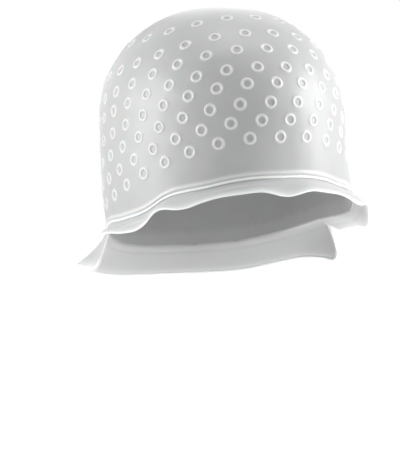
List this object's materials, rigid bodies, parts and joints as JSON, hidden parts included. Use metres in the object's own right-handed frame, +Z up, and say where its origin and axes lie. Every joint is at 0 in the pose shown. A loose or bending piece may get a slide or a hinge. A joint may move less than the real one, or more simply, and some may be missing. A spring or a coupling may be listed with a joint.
{
  "type": "highlighting cap",
  "caption": "Frosted silicone cap for strand colouring: domed crown with raised pierce-through rings, rounded rim rib, wavy turned-out skirt and a longer nape flap.",
  "frame": {"origin": "on the crown's vertical axis at mid height of the opening for the head", "axes": "+Z up through the crown as worn, -Y out of the wearer's brow, +X to the wearer's left"},
  "size_m": [0.2021, 0.2137, 0.1994],
  "materials": {
    "frosted_silicone": "translucent milky silicone, soft satin"
  },
  "bodies": {
    "cap": {"crown_dome": "frosted_silicone", "crown_wall": "frosted_silicone", "smooth_headband": "frosted_silicone", "rib_bead": "frosted_silicone", "upper_rib": "frosted_silicone", "ring_row_1": "frosted_silicone", "ring_row_2": "frosted_silicone", "ring_row_3": "frosted_silicone", "ring_row_4": "frosted_silicone", "ring_row_5": "frosted_silicone", "ring_row_6": "frosted_silicone", "ring_row_7": "frosted_silicone", "ring_row_8": "frosted_silicone", "left_nape_corner": "frosted_silicone", "left_nape_corner_edge_bead": "frosted_silicone", "right_nape_corner": "frosted_silicone", "right_nape_corner_edge_bead": "frosted_silicone"},
    "brow_skirt_fold": {"brow_skirt": "frosted_silicone", "brow_skirt_edge_bead": "frosted_silicone"},
    "left_ear_skirt_fold": {"left_ear_skirt": "frosted_silicone", "left_ear_skirt_edge_bead": "frosted_silicone"},
    "right_ear_skirt_fold": {"right_ear_skirt": "frosted_silicone", "right_ear_skirt_edge_bead": "frosted_silicone"},
    "nape_flap_fold": {"nape_flap": "frosted_silicone", "nape_flap_edge_bead": "frosted_silicone"}
  },
  "joints": [
    {"name": "brow_turn_up", "type": "hinge", "parent": "cap", "child": "brow_skirt_fold", "pos_m": [0, -0.1025, 0.029], "axis": [-1, 0, 0], "range_deg": [0, 35], "stiffness_Nm_per_rad": 0.05},
    {"name": "left_ear_turn_up", "type": "hinge", "parent": "cap", "child": "left_ear_skirt_fold", "pos_m": [0.08296, -0.04458, 0.00447], "axis": [-0.3355, -0.8993, 0.2804], "range_deg": [0, 25], "stiffness_Nm_per_rad": 0.05},
    {"name": "right_ear_turn_up", "type": "hinge", "parent": "cap", "child": "right_ear_skirt_fold", "pos_m": [-0.07552, -0.04606, 0.00513], "axis": [-0.3237, 0.9033, -0.2817], "range_deg": [0, 25], "stiffness_Nm_per_rad": 0.05},
    {"name": "nape_lift", "type": "hinge", "parent": "cap", "child": "nape_flap_fold", "pos_m": [0, 0.08167, -0.0294], "axis": [1, 0, 0], "range_deg": [0, 30], "stiffness_Nm_per_rad": 0.05}
  ]
}
